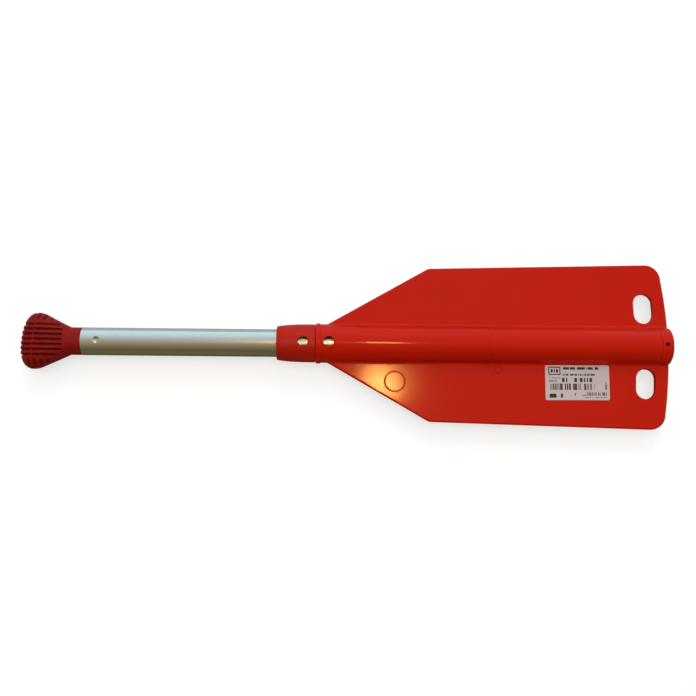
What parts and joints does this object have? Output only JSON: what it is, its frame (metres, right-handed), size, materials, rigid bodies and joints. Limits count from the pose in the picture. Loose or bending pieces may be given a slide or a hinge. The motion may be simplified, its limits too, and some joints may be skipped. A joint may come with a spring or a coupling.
{
  "type": "telescopic paddle",
  "caption": "Telescopic paddle with a flat red blade on a hollow spine, a sliding aluminium shaft locked by a sprung button, and a ribbed palm grip.",
  "frame": {"origin": "centre of the footprint of the stowed paddle, at the lowest point of the mouth bead", "axes": "+X along the shaft towards the blade's tip, +Y in the plane of the blade, +Z out of the face with the lock holes"},
  "size_m": [0.6554, 0.169, 0.0408],
  "materials": {
    "moulded_red": "moulded polyethylene, waxy satin gloss",
    "soft_dark_red": "soft moulded vinyl, semi-matt",
    "anodised_tube": "drawn tube, satin anodised",
    "natural_nylon": "moulded nylon",
    "grey_plastic": "moulded plastic",
    "black_rubber": "moulded rubber",
    "white_foam": "closed-cell foam",
    "spring_steel": "drawn wire",
    "button_steel": "turned"
  },
  "bodies": {
    "blade_body": {"blade": "moulded_red", "neck_collar": "moulded_red", "tip_plug": "moulded_red"},
    "ring_body": {"friction_ring": "black_rubber"},
    "shaft_body": {"shaft_tube": "anodised_tube", "guide_bush": "natural_nylon", "grip": "soft_dark_red", "grip_core": "grey_plastic", "float_plug": "white_foam", "button_spring": "spring_steel"},
    "button_body": {"lock_button": "button_steel"}
  },
  "joints": [
    {"name": "telescope", "type": "slide", "parent": "blade_body", "child": "ring_body", "axis": [-1, 0, 0], "range_m": [0, 0.3282]},
    {"name": "twist", "type": "hinge", "parent": "ring_body", "child": "shaft_body", "pos_m": [0.2958, 0, 0.0204], "axis": [1, 0, 0], "continuous": true},
    {"name": "button_press", "type": "slide", "parent": "shaft_body", "child": "button_body", "axis": [0, 0, -1], "range_m": [0, 0.004], "stiffness_N_per_m": 1500, "springref_m": -0.0064, "deforming": ["button_spring"]}
  ]
}
